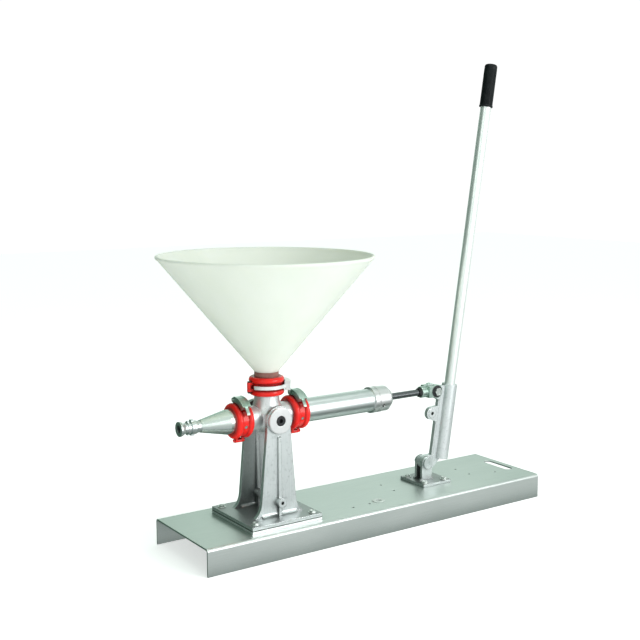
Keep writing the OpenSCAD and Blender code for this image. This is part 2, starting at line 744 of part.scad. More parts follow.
module outlet_clamp_hinge_pin() color("dimgray") clamp_on_pump(outlet_cx) clamp_hinge_pin();

module outlet_clamp_toggle() color("silver") clamp_on_pump(outlet_cx)
    clamp_toggle(band_proud, 66);

module outlet_clamp_toggle_pin() color("dimgray") clamp_on_pump(outlet_cx) clamp_toggle_pin();

module outlet_clamp_screw() color("silver") clamp_on_pump(outlet_cx) clamp_screw();

module cylinder_gasket() color("black") clamp_on_pump(cylinder_cx) clamp_gasket();

module cylinder_clamp_fixed() color("red") clamp_on_pump(cylinder_cx) clamp_fixed_half(true);

module cylinder_clamp_swing() color("red") clamp_on_pump(cylinder_cx) clamp_swing_half();

module cylinder_clamp_hinge_pin() color("dimgray") clamp_on_pump(cylinder_cx)
    clamp_hinge_pin();

module cylinder_clamp_toggle() color("silver") clamp_on_pump(cylinder_cx)
    clamp_toggle(band_proud, 66);

module cylinder_clamp_toggle_pin() color("dimgray") clamp_on_pump(cylinder_cx)
    clamp_toggle_pin();

module cylinder_clamp_screw() color("silver") clamp_on_pump(cylinder_cx) clamp_screw();

module hopper_gasket() color("black") on_head(hopper_cz)
    translate([0, 0, -half_gasket]) tube(flange_r - 0.5, spigot_r, gasket_t);

module hopper_clamp_fixed() color("red") on_head(hopper_cz) clamp_fixed_half(false);

module hopper_clamp_swing() color("red") on_head(hopper_cz) clamp_swing_half();

module hopper_clamp_hinge_pin() color("dimgray") on_head(hopper_cz) clamp_hinge_pin();

module hopper_clamp_toggle() color("silver") on_head(hopper_cz) clamp_toggle(band_close, 160);

module hopper_clamp_toggle_pin() color("dimgray") on_head(hopper_cz) clamp_toggle_pin();

// ---------------------------------------------------------------- rod, piston, clevis

module piston_rod() color("dimgray") {
    along_pump(piston_x1) cylinder(r = rod_r, h = rod_end_x - piston_x1);
    along_pump(piston_x0 - piston_nut_t - 2) cylinder(r = stem_r, h = piston_l + 14);
}

module piston() color("silver") along_pump(piston_x0) difference() {
    union() {
        cylinder(r = bore_r - 6, h = piston_l);
        translate([0, 0, piston_l / 2 - 3]) cylinder(r = bore_r - 0.6, h = 6);
    }
    translate([0, 0, -cut]) cylinder(r = stem_r, h = piston_l + 2 * cut);
}

module piston_cups() color("black") for (z = [0.5, piston_l / 2 + 3.2])
    along_pump(piston_x0 + z) tube(bore_r - run_fit, bore_r - 6, piston_l / 2 - 3.7);

module piston_nut() color("gray") along_pump(piston_x0 - piston_nut_t) difference() {
    cylinder(r = 14, h = piston_nut_t, $fn = 6);
    translate([0, 0, -cut]) cylinder(r = stem_r, h = piston_nut_t + 2 * cut);
}

module rod_locknut() color("black") along_pump(rod_x1) difference() {
    union() {
        cylinder(r = 11, h = 2);
        translate([0, 0, 2]) cylinder(r = 12.5, h = locknut_t - 2, $fn = 6);
    }
    translate([0, 0, -cut]) cylinder(r = rod_r, h = locknut_t + 2 * cut);
}

module rod_clevis() color("lightgray") difference() {
    union() {
        along_pump(clevis_x0) cylinder(r1 = clevis_r - 1, r2 = clevis_r, h = 1.5);
        along_pump(clevis_x0 + 1.5) cylinder(r = clevis_r, h = pin_x - 16 - clevis_x0);
        in_frame() translate([clevis_slot_x - 5, -clevis_half_w, pump_z - clevis_r])
            cube([pin_x - clevis_slot_x + 5, 2 * clevis_half_w, 2 * clevis_r]);
        in_frame() translate([pin_x, 0, pump_z]) bar_y(clevis_ear_r, 2 * clevis_half_w);
    }
    in_frame() translate([clevis_slot_x, -clevis_gap, pump_z - 30])
        cube([60, 2 * clevis_gap, 60]);
    along_pump(clevis_x0 - cut) cylinder(r = rod_r, h = rod_end_x - clevis_x0 + cut);
    in_frame() translate([pin_x, 0, pump_z]) bar_y(bolt_r, 60);
}

module clevis_bolt() color("gray") in_frame() translate([pin_x, 0, pump_z]) {
    translate([0, bolt_nut_t / 2, 0]) bar_y(bolt_r, 2 * clevis_half_w + bolt_nut_t + 2);
    difference() {
        hex_y(bolt_hex_r, -clevis_half_w - bolt_head_t, bolt_head_t);
        translate([0, -clevis_half_w - bolt_head_t, 0]) bar_y(bolt_hex_r * 0.6, 2);
    }
}

module clevis_nut() color("gray") in_frame() translate([pin_x, 0, pump_z]) difference() {
    hex_y(bolt_hex_r, clevis_half_w, bolt_nut_t);
    bar_y(bolt_r, 80);
}

// ---------------------------------------------------------------- lever bracket

module bracket_ear() {
    translate([-ear_r, 0, 0]) cube([2 * ear_r, ear_t, pivot_z - base_h]);
    translate([0, ear_t / 2, pivot_z - base_h]) bar_y(ear_r, ear_t);
    translate([-ear_r - 5, 0, 0]) cube([2 * ear_r + 10, ear_t, bracket_t + 4]);
}

module lever_bracket() color("silver") in_frame() translate([pivot_x, 0, base_h]) difference() {
    union() {
        translate([bracket_x - pivot_x - bracket_l / 2, -bracket_w / 2, 0])
            cube([bracket_l, bracket_w, bracket_t]);
        translate([0, -ear_out, 0]) bracket_ear();
        translate([0, ear_in, 0]) bracket_ear();
    }
    translate([0, 0, pivot_z - base_h]) bar_y(bolt_r, 2 * ear_out + 2 * cut);
    translate([bracket_x - pivot_x, 0, -cut])
        at_corners(bracket_l / 2 - bracket_bolt_edge, bracket_w / 2 - bracket_bolt_edge)
            cylinder(r = m8_hole_r, h = bracket_t + 2 * cut);
}

module bracket_bolts() color("darkgray") in_frame() translate([bracket_x, 0, 0])
    at_corners(bracket_l / 2 - bracket_bolt_edge, bracket_w / 2 - bracket_bolt_edge) {
        bolt_down(base_h + bracket_t, bracket_t + base_t);
        bolt_nut(base_h + bracket_t, bracket_t + base_t);
    }

module pivot_bolt() color("lightgray") in_frame() translate([pivot_x, 0, pivot_z]) {
    translate([0, bolt_nut_t / 2, 0]) bar_y(bolt_r, 2 * ear_out + bolt_nut_t + 2);
    difference() {
        translate([0, -ear_out - 3, 0]) bar_y(14.5, 6);
        translate([0, -ear_out - 6, 0]) rotate([90, 0, 0])
            cylinder(r = 5.6, h = 6, center = true, $fn = 6);
    }
}

module pivot_nut() color("gray") in_frame() translate([pivot_x, 0, pivot_z]) difference() {
    hex_y(bolt_hex_r, ear_out, bolt_nut_t);
    bar_y(bolt_r, 80);
}

// ---------------------------------------------------------------- lever and handle

// A lug that carries an eye at (x, z) and runs back to the lever's web
module eye_lug(x, z, r, t) {
    translate([x, 0, z]) bar_y(r, t);
    translate([x, t / 2, z]) rotate([90, 0, 0]) linear_extrude(t) polygon([
        [0, -r], [web_x + 4 - x, -r - 5], [web_x + 4 - x, r + 5], [0, r]]);
}

module lever_casting() color("silver") on_lever() difference() {
    union() {
        eye_lug(0, 0, low_eye_r, eye_t);
        eye_lug(mid_eye_x, mid_eye_z, mid_eye_r, mid_eye_t);
        translate([0, 0, eye_dist]) bar_y(top_eye_r, eye_t);
        translate([0, eye_t / 2, eye_dist]) rotate([90, 0, 0]) linear_extrude(eye_t)
            polygon([[0, -top_eye_r], [web_x + 4, -top_eye_r - 9], [web_x + 4, 15],
                     [8, 14.2]]);
        translate([0, web_t / 2, 0]) rotate([90, 0, 0]) linear_extrude(web_t) polygon([
            [web_x, -19], [web_x + 7, -19], [socket_off - 2, socket_z0 + 2],
            [socket_off - 2, eye_dist + 15], [web_x, eye_dist + 15]]);
        translate([web_x, -web_t / 2 - 0.8, -20]) cube([5, web_t + 1.6, eye_dist + 35]);
        translate([mid_eye_x, 0, mid_eye_z]) bar_y(mid_eye_r - 4.5, mid_eye_t + 3);
        translate([socket_off, 0, socket_z0]) cylinder(r = socket_r, h = socket_z1 - socket_z0);
    }
    bar_y(bolt_r + run_fit, 60);
    translate([0, 0, eye_dist]) bar_y(bolt_r + loop_play, 60);
    translate([mid_eye_x, 0, mid_eye_z]) bar_y(mid_hole_r, 60);
    translate([socket_off, 0, pipe_z0]) cylinder(r = pipe_r, h = eye_dist + 60);
    for (z = [0.35, 0.8]) translate([socket_off, 0, z * eye_dist]) rotate([-90, 0, 0])
        cylinder(r = 4, h = socket_r + cut);
}

module handle_pipe() color("silver") on_lever() translate([socket_off, 0, pipe_z0])
    tube(pipe_r, pipe_r - handle_wall, pipe_l);

module handle_grip() color("black") on_lever()
    translate([socket_off, 0, pipe_z0 + pipe_l + grip_over - grip_l]) difference() {
        union() {
            cylinder(r = grip_r, h = grip_l - 4);
            translate([0, 0, grip_l - 4.01]) cylinder(r1 = grip_r, r2 = grip_r - 3, h = 4.01);
            cylinder(r = grip_r + 1, h = 5);
        }
        translate([0, 0, -cut]) cylinder(r = pipe_r, h = grip_l - grip_over + cut);
    }

module socket_screws() color("dimgray") on_lever() for (z = [0.35, 0.8])
    translate([socket_off, pipe_r, z * eye_dist]) rotate([-90, 0, 0]) difference() {
        intersection() {
            cylinder(r = 4, h = 6);
            translate([0, 0, 0.4]) cylinder(r = 4, h = 5.6);
        }
        translate([0, 0, 3.5]) cylinder(r = 2.3, h = 4, $fn = 6);
    }

// ---------------------------------------------------------------- nodes

base_channel();
base_grommet();
spacer_plate();
pedestal();
pedestal_bolts();
trunnion_pin_front();
trunnion_pin_back();
trunnion_screws();
lever_bracket();
bracket_bolts();
pivot_bolt();
pivot_nut();
pump_head();
suction_seat();
suction_cage();
suction_ball();
discharge_seat();
discharge_cage();
discharge_ball();
outlet_cone();
hose_coupler();
cylinder_tube();
gland_cap();
gland_bush();
rod_wiper();
hopper_neck();
hopper();
outlet_gasket();
outlet_clamp_fixed();
outlet_clamp_swing();
outlet_clamp_hinge_pin();
outlet_clamp_toggle();
outlet_clamp_toggle_pin();
outlet_clamp_screw();
cylinder_gasket();
cylinder_clamp_fixed();
cylinder_clamp_swing();
cylinder_clamp_hinge_pin();
cylinder_clamp_toggle();
cylinder_clamp_toggle_pin();
cylinder_clamp_screw();
hopper_gasket();
hopper_clamp_fixed();
hopper_clamp_swing();
hopper_clamp_hinge_pin();
hopper_clamp_toggle();
hopper_clamp_toggle_pin();
piston_rod();
piston();
piston_cups();
piston_nut();
rod_locknut();
rod_clevis();
clevis_bolt();
clevis_nut();
lever_casting();
handle_pipe();
handle_grip();
socket_screws();
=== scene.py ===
# Hand-lever piston filler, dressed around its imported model. All lengths are metres.
import math

import bmesh
import bpy
from mathutils import Matrix, Vector


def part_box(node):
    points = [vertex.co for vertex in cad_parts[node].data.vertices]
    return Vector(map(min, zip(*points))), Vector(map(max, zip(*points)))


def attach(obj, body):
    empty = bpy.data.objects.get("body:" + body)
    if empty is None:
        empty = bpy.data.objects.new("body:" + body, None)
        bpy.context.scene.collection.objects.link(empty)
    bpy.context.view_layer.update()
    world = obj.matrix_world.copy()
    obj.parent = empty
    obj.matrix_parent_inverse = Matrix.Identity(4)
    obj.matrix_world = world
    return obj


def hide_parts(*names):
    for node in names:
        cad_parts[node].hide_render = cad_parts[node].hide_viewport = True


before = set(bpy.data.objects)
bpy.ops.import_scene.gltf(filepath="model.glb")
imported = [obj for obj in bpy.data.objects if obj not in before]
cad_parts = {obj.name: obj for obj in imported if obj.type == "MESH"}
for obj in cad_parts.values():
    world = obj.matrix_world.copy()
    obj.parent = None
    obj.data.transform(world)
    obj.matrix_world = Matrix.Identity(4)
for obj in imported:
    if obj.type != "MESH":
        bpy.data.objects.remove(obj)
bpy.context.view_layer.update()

# ---------------------------------------------------------------- studio
# A white sweep under soft light, as in a catalogue: a big window of light to the right of
# the camera, a bright strip overhead, and a dark green room behind on the left that the
# metal's left sides show.


class Wire:
    """A value in a shader graph. Adding and multiplying wires adds the Math nodes."""

    def __init__(self, graph, socket):
        self.graph, self.socket = graph, socket

    def worked(self, operation, *values):
        return self.graph.node("ShaderNodeMath", {"operation": operation}, dict(enumerate(values)))

    def __add__(self, other):
        return self.worked("ADD", self, other)

    def __sub__(self, other):
        return self.worked("SUBTRACT", self, other)

    def __rsub__(self, other):
        return self.worked("SUBTRACT", other, self)

    def __mul__(self, other):
        return self.worked("MULTIPLY", self, other)

    __radd__, __rmul__ = __add__, __mul__

    def between(self, low, high):
        """0 below low, 1 above high."""
        return self.graph.node("ShaderNodeMapRange", {"clamp": True},
                               {"Value": self, "From Min": low, "From Max": high})


class Graph:
    """A node tree that is written as sums and products of wires."""

    def __init__(self, tree):
        self.tree = tree

    def feed(self, socket, value):
        if isinstance(value, Wire):
            self.tree.links.new(value.socket, socket)
        elif isinstance(value, tuple) and len(value) == 3 and socket.type == "RGBA":
            socket.default_value = (*value, 1)
        else:
            socket.default_value = value

    def node(self, kind, settings=None, inputs=None, output=0):
        made = self.tree.nodes.new(kind)
        for key, value in (settings or {}).items():
            if key == "stops":
                stops = made.color_ramp.elements
                while len(stops) < len(value):
                    stops.new(1)
                for stop, (place, colour) in zip(stops, value):
                    stop.position, stop.color = place, (*colour, 1)
            else:
                setattr(made, key, value)
        for key, value in (inputs or {}).items():
            self.feed(made.inputs[key], value)
        return Wire(self, made.outputs[output])

    def noise(self, where, scale, detail=3.0, roughness=0.55):
        return self.node("ShaderNodeTexNoise", {},
                         {"Vector": where, "Scale": scale, "Detail": detail, "Roughness": roughness})

    def blend(self, factor, first, second, way="MIX"):
        """Mixes two colours. The Mix node's colour sockets come after its value sockets."""
        return self.node("ShaderNodeMix", {"data_type": "RGBA", "blend_type": way},
                         {0: factor, 6: first, 7: second}, output=2)


world = bpy.data.worlds.new("studio")
bpy.context.scene.world = world
world.use_nodes = True
sky = Graph(world.node_tree)
ray = sky.node("ShaderNodeTexCoord")
height = sky.node("ShaderNodeSeparateXYZ", inputs={0: ray}, output=2)
haze = sky.node("ShaderNodeValToRGB", {"stops": [
    (0.0, (0.05, 0.08, 0.065)), (0.28, (0.12, 0.16, 0.14)), (0.38, (0.52, 0.57, 0.55)),
    (0.46, (0.86, 0.90, 0.89)), (0.60, (0.96, 1.0, 0.98)), (0.80, (0.62, 0.70, 0.66)),
    (1.0, (0.78, 0.84, 0.81))]}, {0: height * 0.5 + 0.5})
forward = sky.node("ShaderNodeVectorMath", {"operation": "DOT_PRODUCT"},
                   {0: ray, 1: (0.35, -0.94, 0)}, output=1)
leftward = sky.node("ShaderNodeVectorMath", {"operation": "DOT_PRODUCT"},
                    {0: ray, 1: (-0.80, 0.60, 0)}, output=1)
dimmer = sky.blend(1.0, haze, (0.52, 0.66, 0.58), "MULTIPLY")
room = sky.blend(forward.between(-0.7, 0.6), dimmer, haze)
room = sky.blend(leftward.between(0.2, 0.8) * 0.93, room, (0.05, 0.10, 0.072))
nearby = sky.node("ShaderNodeVectorMath", {"operation": "DOT_PRODUCT"},
                  {0: ray, 1: (-0.5, -0.86, 0)}, output=1)
room = sky.blend(nearby.between(0.2, 0.55) * (0 - height).between(0.05, 0.22) * 0.85, room,
                 (0.62, 0.65, 0.65))
sky.feed(world.node_tree.nodes["Background"].inputs["Color"], room)
lit = Wire(sky, world.node_tree.nodes["Background"].outputs[0])
backdrop = sky.node("ShaderNodeBackground", inputs={"Color": (1.0, 1.0, 1.0), "Strength": 1.05})
seen = sky.node("ShaderNodeLightPath")
either = sky.node("ShaderNodeMixShader", inputs={0: seen, 1: lit, 2: backdrop})
sky.feed(world.node_tree.nodes["World Output"].inputs["Surface"], either)


def softbox(name, place, target, size, power):
    lamp = bpy.data.lights.new(name, "AREA")
    lamp.shape = "RECTANGLE"
    lamp.size, lamp.size_y = size
    lamp.energy = power
    holder = bpy.data.objects.new(name, lamp)
    holder.location = place
    holder.rotation_euler = (Vector(target) - Vector(place)).to_track_quat("-Z", "Y").to_euler()
    bpy.context.collection.objects.link(holder)


softbox("window_right", (1.15, -2.9, 1.2), (-0.1, 0, 0.35), (1.7, 1.8), 46)
softbox("window_left", (-2.7, -1.5, 2.0), (0, 0, 0.4), (1.2, 1.6), 7)
softbox("strip_above", (0.0, -0.5, 2.9), (0, 0, 0), (2.6, 0.6), 15)
softbox("strip_behind", (1.6, 2.4, 1.6), (0, 0, 0.4), (1.8, 0.8), 3)

camera = bpy.data.cameras.new("camera")
camera.lens = 58.91
camera.sensor_width = 36
stand = bpy.data.objects.new("camera", camera)
stand.location = (-1.5314, -2.0631, 0.8816)
stand.rotation_euler = (math.radians(81.837), 0, math.radians(-34.513))
bpy.context.collection.objects.link(stand)
bpy.context.scene.camera = stand
bpy.context.scene.view_settings.view_transform = "Standard"
bpy.context.scene.view_settings.look = "None"

# ---------------------------------------------------------------- base
# A channel folded from 4 mm stainless sheet, ground along its length so that fine lines
# run from end to end. The bends get a painted highlight, the corners and underside a painted
# shade, and hands and boxes leave faint scuffs.


class Finish(Graph):
    """A material built on one Principled shader."""

    def __init__(self, name, **fixed):
        self.material = bpy.data.materials.new(name)
        self.material.use_nodes = True
        super().__init__(self.material.node_tree)
        self.surface = self.tree.nodes["Principled BSDF"]
        for socket, value in fixed.items():
            self.feed(self.surface.inputs[socket.replace("_", " ")], value)

    def place(self, stretch=(1, 1, 1), turn=(0, 0, 0), centre=(0, 0, 0)):
        """Object coordinates, stretched, turned and moved by centre."""
        spot = self.node("ShaderNodeTexCoord", output=3)
        return self.node("ShaderNodeMapping", {"vector_type": "POINT"},
                         {"Vector": spot, "Location": centre, "Rotation": turn, "Scale": stretch})

    def edges(self, radius, low=0.03, high=0.3):
        """1 on edges within radius, from the bent and the plain normals."""
        bent = self.node("ShaderNodeBevel", {"samples": 4}, {"Radius": radius})
        plain = self.node("ShaderNodeNewGeometry", output=1)
        apart = self.node("ShaderNodeVectorMath", {"operation": "DISTANCE"},
                          {0: bent, 1: plain}, output=1)
        return apart.between(low, high)

    def relief(self, height, depth, strength=1.0, rounding=None):
        """Bumps the surface by height times depth, on edges rounded by rounding."""
        sockets = {"Height": height, "Distance": depth, "Strength": strength}
        if rounding:
            sockets["Normal"] = self.node("ShaderNodeBevel", {"samples": 4}, {"Radius": rounding})
        return self.node("ShaderNodeBump", {}, sockets)

    def wear(self, base=None, rough=None, metal=None, normal=None, coat=None):
        for socket, value in (("Base Color", base), ("Roughness", rough), ("Metallic", metal),
                              ("Normal", normal), ("Coat Weight", coat)):
            if value is not None:
                self.feed(self.surface.inputs[socket], value)
        return self

    def on(self, *names):
        for name in names:
            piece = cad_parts[name]
            piece.data.materials.clear()
            piece.data.materials.append(self.material)


def new_piece(name, bm, finish, body):
    """Turns a bmesh into a piece that rides a body and takes a slot's finish."""
    bmesh.ops.recalc_face_normals(bm, faces=bm.faces)
    mesh = bpy.data.meshes.new(name)
    bm.to_mesh(mesh)
    bm.free()
    mesh.materials.append(finish.material)
    piece = bpy.data.objects.new(name, mesh)
    bpy.context.collection.objects.link(piece)
    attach(piece, body)
    return piece


def spun(profile, steps, sharp=0.6):
    """A closed (radius, height) outline turned round Z. Corners past sharp stay crisp."""
    bm = bmesh.new()
    ring = [bm.verts.new((r, 0, z)) for r, z in profile]
    for first, second in zip(ring, ring[1:] + ring[:1]):
        bm.edges.new((first, second))
    bmesh.ops.spin(bm, geom=bm.verts[:] + bm.edges[:], cent=(0, 0, 0), axis=(0, 0, 1),
                   angle=2 * math.pi, steps=steps, use_merge=True)
    bmesh.ops.recalc_face_normals(bm, faces=bm.faces)
    for face in bm.faces:
        face.smooth = True
    for edge in bm.edges:
        edge.smooth = edge.calc_face_angle(0) < sharp
    return bm


sheet = Finish("ground_stainless", Metallic=1.0)
grain = sheet.noise(sheet.place(stretch=(3, 260, 260)), 4.0, 4.0, 0.7)
fine = sheet.noise(sheet.place(stretch=(9, 900, 900)), 3.0, 2.0)
cloud = sheet.noise(sheet.place(stretch=(2, 5, 5)), 2.4, 3.0)
scuff = sheet.noise(sheet.place(stretch=(60, 9, 9), turn=(0, 0, 0.5)), 3.0, 5.0).between(0.62, 0.72)
bend_highlight = sheet.edges(0.003)
tone = sheet.blend(cloud, (0.66, 0.71, 0.69), (0.80, 0.84, 0.82))
tone = sheet.blend(grain.between(0.35, 0.75) * 0.35, tone, (0.50, 0.56, 0.53))
# A painted highlight: the bends are painted a lighter grey.
tone = sheet.blend(bend_highlight * 0.45, tone, (0.84, 0.87, 0.87))
# Painted shade: the underside, the corners and the top near the plates are painted dark where little
# light reaches.
sheet_clear_of_painted_shade = sheet.node("ShaderNodeAmbientOcclusion", {"samples": 6}, {"Distance": 0.05},
                     output=1).between(0.25, 0.9)
tone = sheet.blend(sheet_clear_of_painted_shade, (0.26, 0.31, 0.29), tone)
sheet.wear(base=tone, rough=0.30 + cloud * 0.12 + grain * 0.10 + scuff * 0.06,
           normal=sheet.relief(grain * 0.7 + fine * 0.3, 0.00006, 0.35, rounding=0.0012))
sheet.on("base_channel")

# The grommet in the base's round hole and the seals are moulded rubber: the grommet is
# a pale grey, dusty in its groove, and the seals are black.

grey_rubber = Finish("grey_rubber", Specular_IOR_Level=0.4)
chalk = grey_rubber.noise(grey_rubber.place(), 120.0, 4.0)
grey_rubber.wear(base=grey_rubber.blend(chalk, (0.62, 0.69, 0.65), (0.76, 0.82, 0.79)),
                 rough=0.45 + chalk * 0.2,
                 normal=grey_rubber.relief(chalk, 0.0002, 0.3, rounding=0.0008))
grey_rubber.on("base_grommet")

rubber = Finish("moulded_rubber", Specular_IOR_Level=0.35)
dust = rubber.noise(rubber.place(), 90.0, 5.0)
rubber.wear(base=rubber.blend(dust.between(0.45, 0.8), (0.012, 0.012, 0.013), (0.045, 0.045, 0.045)),
            rough=0.50 + dust * 0.25,
            normal=rubber.relief(rubber.noise(rubber.place(), 700.0), 0.0002, 0.25, rounding=0.0008))
rubber.on("outlet_gasket", "cylinder_gasket", "hopper_gasket", "rod_wiper",
          "piston_cups")

# ---------------------------------------------------------------- pedestal
# Two plates and a pair of arms cast in aluminium in a sand mould: the faces keep the
# sand's fine grain, the plates' edges are sawn bright, and the corners are rubbed smooth
# and carry a painted highlight. Corners, recesses and level faces get painted shade.


def cast_finish(name, light, dark, grit, dull, reach, metal=0.9, level_face_shade=0.0):
    """Cast metal: grit is the grain's scale, reach how far the painted shade in corners and
    recesses spreads, and the last argument how much painted shade darkens the level faces."""
    cast = Finish(name, Metallic=metal)
    sand = cast.noise(cast.place(), grit, 6.0, 0.65)
    pits = cast.noise(cast.place(), grit * 0.33, 3.0)
    patch = cast.noise(cast.place(), 11.0, 4.0)
    streak = cast.noise(cast.place(stretch=(330, 330, 9)), 2.0, 4.0).between(0.3, 0.7)
    # Painted shade: corners, recesses and inner faces are painted dark where little light reaches.
    cast_clear_of_painted_shade = cast.node("ShaderNodeAmbientOcclusion", {"samples": 6}, {"Distance": reach},
                         output=1).between(0.22, 0.66)
    upward = cast.node("ShaderNodeSeparateXYZ",
                       inputs={0: cast.node("ShaderNodeNewGeometry", output=1)}, output=2)
    rubbed_edge_highlight = cast.edges(0.0024)
    shade = cast.blend(patch.between(0.3, 0.7) * 0.5 + streak * 0.5, dark, light)
    shade = cast.blend(pits.between(0.56, 0.72) * 0.4, shade, tuple(0.55 * c for c in dark))
    # A painted highlight: the edges are painted near white; their lower roughness below is real
    # rubbing.
    shade = cast.blend(rubbed_edge_highlight * 0.6, shade, (0.90, 0.92, 0.92))
    shade = cast.blend(cast_clear_of_painted_shade, tuple(0.16 * c for c in dark), shade)
    # Painted shade on the faces that look up, as strong as the last argument says.
    shade = cast.blend(upward.between(0.8, 0.98) * level_face_shade, shade, tuple(0.2 * c for c in dark))
    return cast.wear(base=shade, rough=dull + sand * 0.14 - rubbed_edge_highlight * 0.12,
                         normal=cast.relief(sand * 0.5 + pits * 0.2 + streak * 0.3, 0.0007, 0.5,
                                        rounding=0.0016))


# The pedestal and the bracket also get painted shade on their level faces.
sand_cast = cast_finish("sand_cast_aluminium", (0.86, 0.89, 0.90), (0.66, 0.72, 0.71), 420.0,
                        0.28, 0.17, level_face_shade=0.6)
sand_cast.on("pedestal", "lever_bracket")

plate = Finish("sawn_aluminium_plate", Metallic=0.9)
saw = plate.noise(plate.place(stretch=(18, 18, 700)), 3.0, 3.0)
blot = plate.noise(plate.place(), 14.0, 4.0)
plate_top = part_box("spacer_plate")[1][2]
level = plate.node("ShaderNodeSeparateXYZ", inputs={0: plate.place()}, output=2)
seam = level.between(plate_top - 0.0026, plate_top - 0.0018)
plate_tone = plate.blend(blot, (0.76, 0.79, 0.79), (0.90, 0.91, 0.91))
plate.wear(base=plate.blend(seam * 0.95, plate_tone, (0.03, 0.035, 0.035)),
           rough=0.24 + saw * 0.16,
           normal=plate.relief(saw, 0.0002, 0.3, rounding=0.0009))
plate.on("spacer_plate")

# Zinc-plated hexagon bolts hold the plates and the lever bracket down.

zinc = Finish("bright_zinc", Metallic=1.0)
bloom = zinc.noise(zinc.place(), 60.0, 4.0)
zinc.wear(base=zinc.blend(bloom, (0.60, 0.66, 0.63), (0.78, 0.80, 0.78)),
          rough=0.26 + bloom * 0.16,
          normal=zinc.relief(zinc.noise(zinc.place(), 900.0), 0.0001, 0.2, rounding=0.0007))
zinc.on("pedestal_bolts", "bracket_bolts", "pivot_nut", "clevis_bolt", "clevis_nut",
        "outlet_clamp_toggle_pin", "cylinder_clamp_toggle_pin", "hopper_clamp_toggle_pin",
        "outlet_clamp_screw", "cylinder_clamp_screw", "piston_nut")

# Two clamps' toggles are zinc-plated steel, passivated green. The hopper's stays plain.

passive = Finish("green_zinc", Metallic=0.95)
tarnish = passive.noise(passive.place(), 34.0, 4.0)
passive.wear(base=passive.blend(tarnish.between(0.3, 0.7), (0.30, 0.44, 0.38), (0.66, 0.78, 0.72)),
             rough=0.22 + tarnish * 0.16,
             normal=passive.relief(passive.noise(passive.place(), 700.0), 0.0001, 0.2, rounding=0.001))
passive.on("outlet_clamp_toggle", "cylinder_clamp_toggle")

plain = Finish("plain_zinc", Metallic=0.55)
sheen = plain.noise(plain.place(), 60.0, 4.0)
plain.wear(base=plain.blend(sheen, (0.84, 0.86, 0.86), (0.97, 0.97, 0.97)), rough=0.24 + sheen * 0.14,
           normal=plain.relief(plain.noise(plain.place(), 900.0), 0.0001, 0.2, rounding=0.0007))
plain.on("hopper_clamp_toggle")

# A punched washer under each bolt's head, with a rolled edge on its upper side.

head_half, head_h = 0.0075, 0.0053
flat_half = head_half * 0.866
washers = bmesh.new()
for node in ("pedestal_bolts", "bracket_bolts"):
    low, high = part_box(node)
    for x in (low[0] + head_half, high[0] - head_half):
        for y in (low[1] + flat_half, high[1] - flat_half):
            one = spun([(0.0055, 0.0), (0.0098, 0.0), (0.0102, 0.0006), (0.0099, 0.0014),
                        (0.0092, 0.0017), (0.0055, 0.0017)], 40)
            bmesh.ops.translate(one, verts=one.verts, vec=(x, y, high[2] - head_h))
            spare = bpy.data.meshes.new("spare")
            one.to_mesh(spare)
            one.free()
            washers.from_mesh(spare)
            bpy.data.meshes.remove(spare)
new_piece("bolt_washers", washers, zinc, "root")

# ---------------------------------------------------------------- trunnions
# Turned aluminium pins with a wide flange. The lathe leaves fine rings round the pin's
# axis, which runs from front to back. A black socket screw sits in each flange.

turned = Finish("turned_aluminium", Metallic=1.0)
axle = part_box("trunnion_pin_front")
axle_x, axle_z = (axle[0][0] + axle[1][0]) / 2, (axle[0][2] + axle[1][2]) / 2
ring = turned.node("ShaderNodeTexWave", {"wave_type": "RINGS", "rings_direction": "Y"},
                   {"Vector": turned.place(centre=(-axle_x, 0, -axle_z)), "Scale": 220.0,
                    "Distortion": 0.6, "Detail": 1.0}, output=1)
smear = turned.noise(turned.place(), 24.0, 4.0)
turned.wear(base=turned.blend(smear, (0.88, 0.90, 0.90), (0.97, 0.97, 0.97)),
            rough=0.26 + ring * 0.06 + smear * 0.10,
            normal=turned.relief(ring, 0.00008, 0.3, rounding=0.0012))
turned.on("trunnion_pin_front", "trunnion_pin_back")

oxide = Finish("black_oxide_steel", Metallic=0.6)
oil = oxide.noise(oxide.place(), 130.0, 4.0)
oxide.wear(base=oxide.blend(oil, (0.012, 0.013, 0.014), (0.06, 0.062, 0.065)),
           rough=0.32 + oil * 0.2,
           normal=oxide.relief(oxide.noise(oxide.place(), 1200.0), 0.0001, 0.2, rounding=0.0006))
oxide.on("trunnion_screws", "socket_screws", "hopper_clamp_hinge_pin", "rod_locknut")

# ---------------------------------------------------------------- head and outlet
# The head is a fine aluminium casting that has been blasted and tumbled to a soft shine.
# The outlet cone, its spigot and the cylinder are polished stainless tube.

head_cast = cast_finish("tumbled_casting", (0.90, 0.91, 0.92), (0.72, 0.76, 0.77), 700.0,
                        0.24, 0.022, metal=0.68)
head_cast.on("pump_head")


def tube_finish(name, low, high, shine):
    """Polished tube along X with faint buffing rings round it."""
    tube = Finish(name, Metallic=1.0)
    buff = tube.noise(tube.place(stretch=(900, 6, 6)), 2.0, 3.0)
    mist = tube.noise(tube.place(stretch=(3, 9, 9)), 3.0, 3.0)
    return tube.wear(base=tube.blend(mist, low, high), rough=shine + buff * 0.08 + mist * 0.05,
                     normal=tube.relief(buff, 0.00004, 0.3, rounding=0.001))


polished = tube_finish("polished_tube", (0.70, 0.80, 0.75), (0.84, 0.90, 0.87), 0.19)
polished.on("outlet_cone")
satin_tube = tube_finish("satin_tube", (0.68, 0.74, 0.73), (0.80, 0.84, 0.84), 0.26)
satin_tube.on("cylinder_tube", "hose_coupler")

machined = tube_finish("machined_cap", (0.76, 0.77, 0.77), (0.88, 0.88, 0.88), 0.28)
machined.on("gland_cap", "piston")

# Valve seats, cages and balls are inside. The seats are rubber, the balls white plastic.

